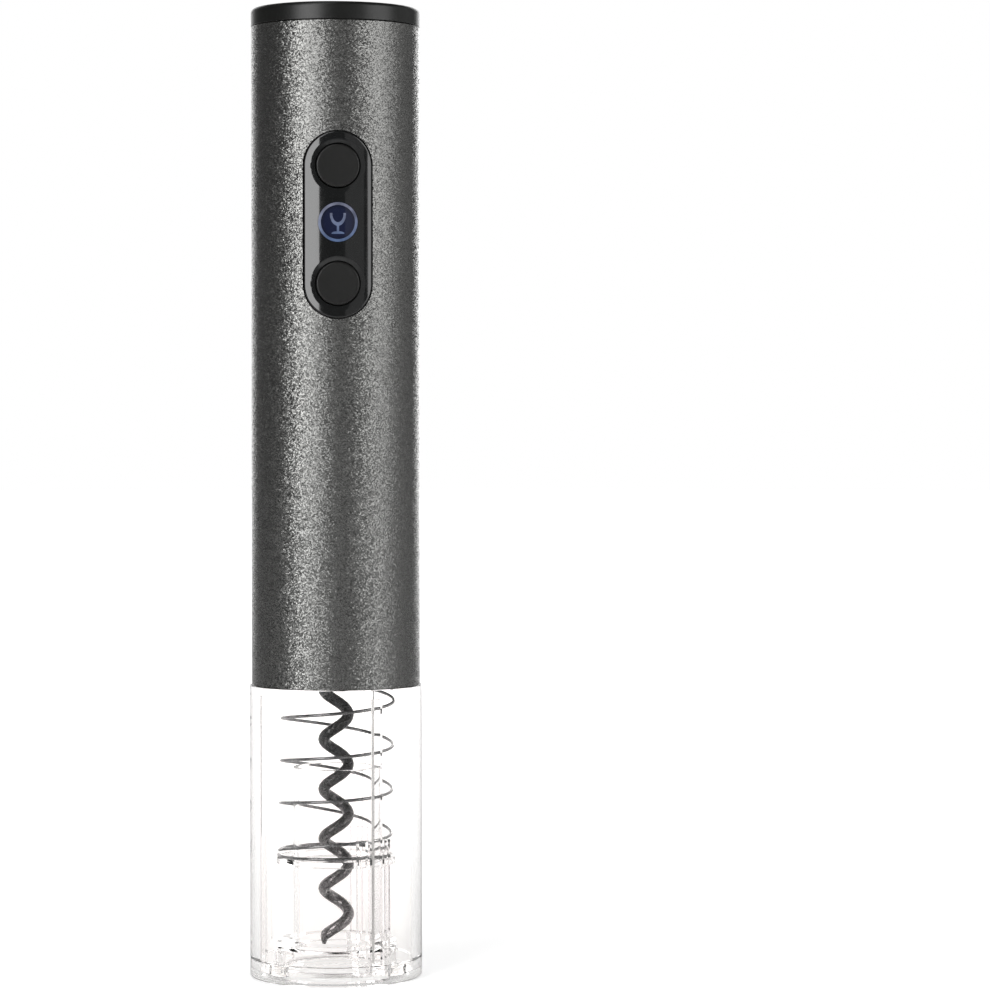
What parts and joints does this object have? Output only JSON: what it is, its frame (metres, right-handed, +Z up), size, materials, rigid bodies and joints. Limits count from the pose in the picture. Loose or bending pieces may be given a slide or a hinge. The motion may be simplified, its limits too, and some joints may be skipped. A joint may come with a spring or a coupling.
{
  "type": "electric wine opener",
  "caption": "Cordless electric wine opener: slim metal tube with push-button panel, geared motor and dry cells inside, and a clear sprung guide round a driven corkscrew.",
  "frame": {"origin": "centre of the base ring's flat underside", "axes": "+Z up along the worm and motor axis; the control panel faces -Y"},
  "size_m": [0.0492, 0.0492, 0.2755],
  "materials": {
    "gunmetal_paint": "fine speckled metallic paint",
    "gloss_black": "polished moulding",
    "button_black": "fine matte",
    "lamp_diffuser": "smoked, lit from behind",
    "clear_plastic": "clear, polished",
    "coated_worm": "low-friction coating on steel wire",
    "spring_steel": "drawn wire",
    "chassis_plastic": "moulded, light spark texture",
    "zinc_screw": "zinc plated",
    "plated_contact": "nickel plated strip",
    "motor_steel": "plated sheet",
    "magnet": "sintered ferrite",
    "copper": "enamelled copper",
    "carbon": "pressed carbon",
    "bronze": "sintered, oiled",
    "nylon_white": "moulded acetal",
    "gear_case": "glass-filled nylon",
    "gear_steel": "sintered steel",
    "board_green": "solder mask",
    "component_black": "moulded package",
    "lead_red": "PVC sheath",
    "lead_black": "PVC sheath",
    "seal_rubber": "moulded ring",
    "cell_wrap": "plain wrapped cell"
  },
  "bodies": {
    "housing": {"outer_tube": "gunmetal_paint", "control_panel": "gloss_black", "light_lens": "lamp_diffuser", "circuit_board": "board_green", "tact_switches": "component_black", "board_components": "component_black", "board_screws": "zinc_screw", "chassis_front": "chassis_plastic", "chassis_rear": "chassis_plastic", "chassis_screws": "zinc_screw", "aa_cell_1": "cell_wrap", "aa_cell_2": "cell_wrap", "aa_cell_3": "cell_wrap", "aa_cell_4": "cell_wrap", "lower_contacts": "plated_contact", "motor_can": "motor_steel", "motor_endcap": "chassis_plastic", "motor_magnets": "magnet", "motor_brushes": "carbon", "motor_bushes": "bronze", "motor_mount_plate": "motor_steel", "motor_screws": "zinc_screw", "ring_gear": "gear_case", "nose_plate": "motor_steel", "gearbox_screws": "zinc_screw", "output_bush": "bronze", "neck_ring": "chassis_plastic", "sleeve_screws": "zinc_screw", "clear_sleeve": "clear_plastic", "base_ring": "clear_plastic", "motor_leads": "lead_red", "battery_leads": "lead_black", "return_spring": "spring_steel"},
    "rotor": {"motor_shaft": "gear_steel", "armature_core": "motor_steel", "armature_windings": "copper", "commutator": "copper", "motor_pinion": "bronze"},
    "first_carrier": {"first_carrier": "gear_steel", "first_carrier_pins": "zinc_screw"},
    "worm_drive": {"worm": "coated_worm", "worm_hub": "chassis_plastic", "hub_set_screw": "zinc_screw", "second_carrier": "gear_steel", "second_carrier_pins": "zinc_screw"},
    "carriage": {"cork_carriage": "clear_plastic"},
    "upper_button": {"button_upper": "button_black", "plunger_upper": "component_black"},
    "lower_button": {"button_lower": "button_black", "plunger_lower": "component_black"},
    "cap": {"top_cap": "gloss_black", "cap_seal": "seal_rubber", "upper_contact": "plated_contact"},
    "first_planet_1": {"first_planet_1": "nylon_white"},
    "second_planet_1": {"second_planet_1": "gear_steel"},
    "first_planet_2": {"first_planet_2": "nylon_white"},
    "second_planet_2": {"second_planet_2": "gear_steel"},
    "first_planet_3": {"first_planet_3": "nylon_white"},
    "second_planet_3": {"second_planet_3": "gear_steel"}
  },
  "joints": [
    {"name": "worm_spin", "type": "hinge", "parent": "housing", "child": "worm_drive", "pos_m": [0, 0, 0.1014], "axis": [0, 0, 1], "continuous": true},
    {"name": "first_carrier_spin", "type": "hinge", "parent": "housing", "child": "first_carrier", "pos_m": [0, 0, 0.1107], "axis": [0, 0, 1], "continuous": true},
    {"name": "rotor_spin", "type": "hinge", "parent": "housing", "child": "rotor", "pos_m": [0, 0, 0.138], "axis": [0, 0, 1], "continuous": true},
    {"name": "first_planet_1_spin", "type": "hinge", "parent": "first_carrier", "child": "first_planet_1", "pos_m": [0.0081, 0, 0.1144], "axis": [0, 0, 1], "continuous": true},
    {"name": "first_planet_2_spin", "type": "hinge", "parent": "first_carrier", "child": "first_planet_2", "pos_m": [-0.00405, 0.00701, 0.1144], "axis": [0, 0, 1], "continuous": true},
    {"name": "first_planet_3_spin", "type": "hinge", "parent": "first_carrier", "child": "first_planet_3", "pos_m": [-0.00405, -0.00701, 0.1144], "axis": [0, 0, 1], "continuous": true},
    {"name": "second_planet_1_spin", "type": "hinge", "parent": "worm_drive", "child": "second_planet_1", "pos_m": [0.0081, 0, 0.106], "axis": [0, 0, 1], "continuous": true},
    {"name": "second_planet_2_spin", "type": "hinge", "parent": "worm_drive", "child": "second_planet_2", "pos_m": [-0.00405, 0.00701, 0.106], "axis": [0, 0, 1], "continuous": true},
    {"name": "second_planet_3_spin", "type": "hinge", "parent": "worm_drive", "child": "second_planet_3", "pos_m": [-0.00405, -0.00701, 0.106], "axis": [0, 0, 1], "continuous": true},
    {"name": "carriage_slide", "type": "slide", "parent": "housing", "child": "carriage", "axis": [0, 0, 1], "range_m": [0, 0.034], "stiffness_N_per_m": 150, "springref_m": -0.02, "deforming": ["return_spring"]},
    {"name": "upper_button_press", "type": "slide", "parent": "housing", "child": "upper_button", "axis": [0, 1, 0], "range_m": [0, 0.0008], "stiffness_N_per_m": 400, "springref_m": -0.002},
    {"name": "lower_button_press", "type": "slide", "parent": "housing", "child": "lower_button", "axis": [0, 1, 0], "range_m": [0, 0.0008], "stiffness_N_per_m": 400, "springref_m": -0.002},
    {"name": "cap_lift", "type": "slide", "parent": "housing", "child": "cap", "axis": [0, 0, 1], "range_m": [0, 0.018]}
  ],
  "couplings": [
    {"joint": "first_carrier_spin", "follows": "rotor_spin", "ratio": 0.22222},
    {"joint": "worm_spin", "follows": "rotor_spin", "ratio": 0.049383},
    {"joint": "first_planet_1_spin", "follows": "rotor_spin", "ratio": -0.62222},
    {"joint": "first_planet_2_spin", "follows": "rotor_spin", "ratio": -0.62222},
    {"joint": "first_planet_3_spin", "follows": "rotor_spin", "ratio": -0.62222},
    {"joint": "second_planet_1_spin", "follows": "rotor_spin", "ratio": -0.13827},
    {"joint": "second_planet_2_spin", "follows": "rotor_spin", "ratio": -0.13827},
    {"joint": "second_planet_3_spin", "follows": "rotor_spin", "ratio": -0.13827}
  ]
}
